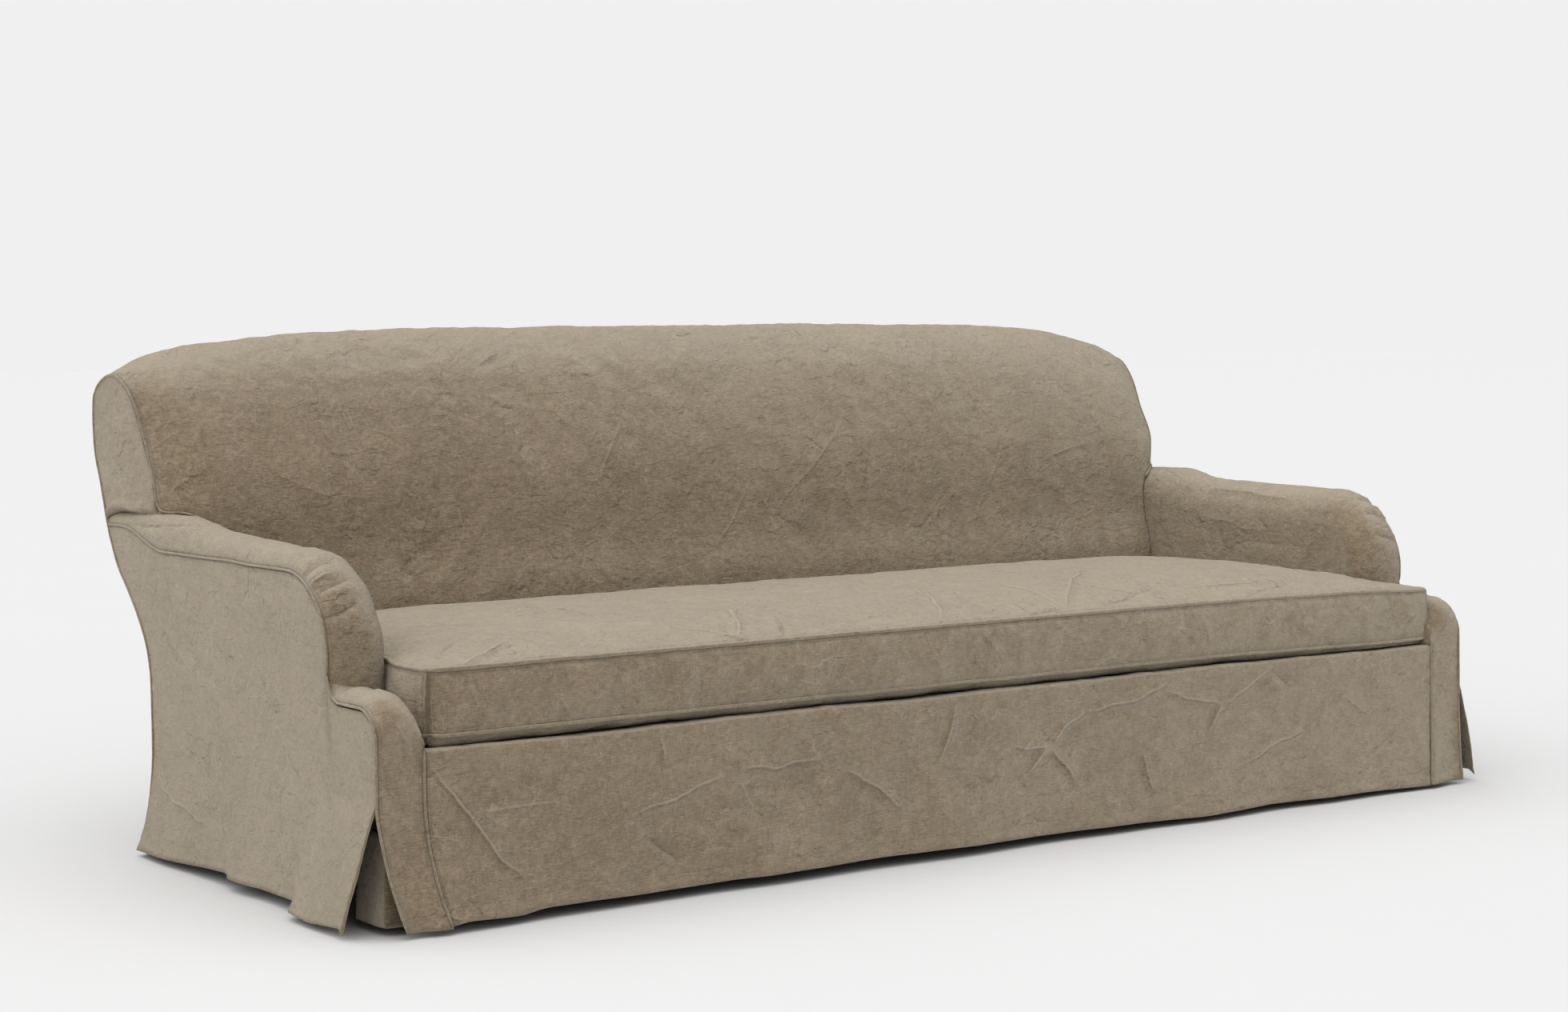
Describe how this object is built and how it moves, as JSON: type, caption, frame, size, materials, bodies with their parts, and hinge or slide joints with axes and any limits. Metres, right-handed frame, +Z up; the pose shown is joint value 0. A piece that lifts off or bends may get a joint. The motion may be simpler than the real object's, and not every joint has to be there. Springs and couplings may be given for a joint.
{
  "type": "camelback sofa",
  "caption": "Slipcovered camelback sofa with set-back arms, one loose bench cushion and a skirt that hangs to the floor.",
  "frame": {"origin": "centre of the overall box, on the floor plane under the glides", "axes": "+Z up; +X along the sofa, to the right as seen by someone facing it; +Y to the back, so the seat faces -Y"},
  "size_m": [2.4648, 1.076, 0.9142],
  "materials": {
    "linen": "matte",
    "cushion_linen": "matte",
    "foam": "matte",
    "wadding": "matte",
    "hardwood": "satin",
    "leg_wood": "satin",
    "webbing": "matte",
    "dust_cloth": "matte",
    "glide_plastic": "satin",
    "zip": "satin"
  },
  "bodies": {
    "sofa_body": {"front_rail": "hardwood", "rear_rail": "hardwood", "crest_rail": "hardwood", "lower_back_rail": "hardwood", "left_side_rail": "hardwood", "left_seat_brace": "hardwood", "left_arm_stump": "hardwood", "left_arm_top_rail": "hardwood", "left_back_post": "hardwood", "left_back_stile": "hardwood", "left_front_corner_block": "hardwood", "left_rear_corner_block": "hardwood", "right_side_rail": "hardwood", "right_seat_brace": "hardwood", "right_arm_stump": "hardwood", "right_arm_top_rail": "hardwood", "right_back_post": "hardwood", "right_back_stile": "hardwood", "right_front_corner_block": "hardwood", "right_rear_corner_block": "hardwood", "front_left_leg": "leg_wood", "front_right_leg": "leg_wood", "rear_left_leg": "leg_wood", "rear_right_leg": "leg_wood", "front_centre_leg": "leg_wood", "rear_centre_leg": "leg_wood", "front_left_glide": "glide_plastic", "front_right_glide": "glide_plastic", "rear_left_glide": "glide_plastic", "rear_right_glide": "glide_plastic", "front_centre_glide": "glide_plastic", "rear_centre_glide": "glide_plastic", "seat_webbing": "webbing", "deck_pad": "wadding", "dust_cover": "dust_cloth", "front_edge_pad": "foam", "left_arm_pad": "foam", "right_arm_pad": "foam", "left_ledge_pad": "foam", "right_ledge_pad": "foam", "back_pad": "foam", "left_arm_cover": "linen", "left_ledge_strip": "linen", "left_outside_panel": "linen", "left_back_gusset": "linen", "left_kick_pleat": "linen", "right_arm_cover": "linen", "right_ledge_strip": "linen", "right_outside_panel": "linen", "right_back_gusset": "linen", "right_kick_pleat": "linen", "deck_cloth": "linen", "inside_back_cover": "linen", "outside_back_panel": "linen", "front_skirt": "linen"},
    "seat_cushion": {"seat_cushion_core": "foam", "seat_cushion_cover": "cushion_linen", "seat_cushion_zip": "zip"}
  },
  "joints": [
    {"name": "seat_cushion_lift", "type": "slide", "parent": "sofa_body", "child": "seat_cushion", "axis": [0, 0, 1], "range_m": [0, 0.4]}
  ]
}
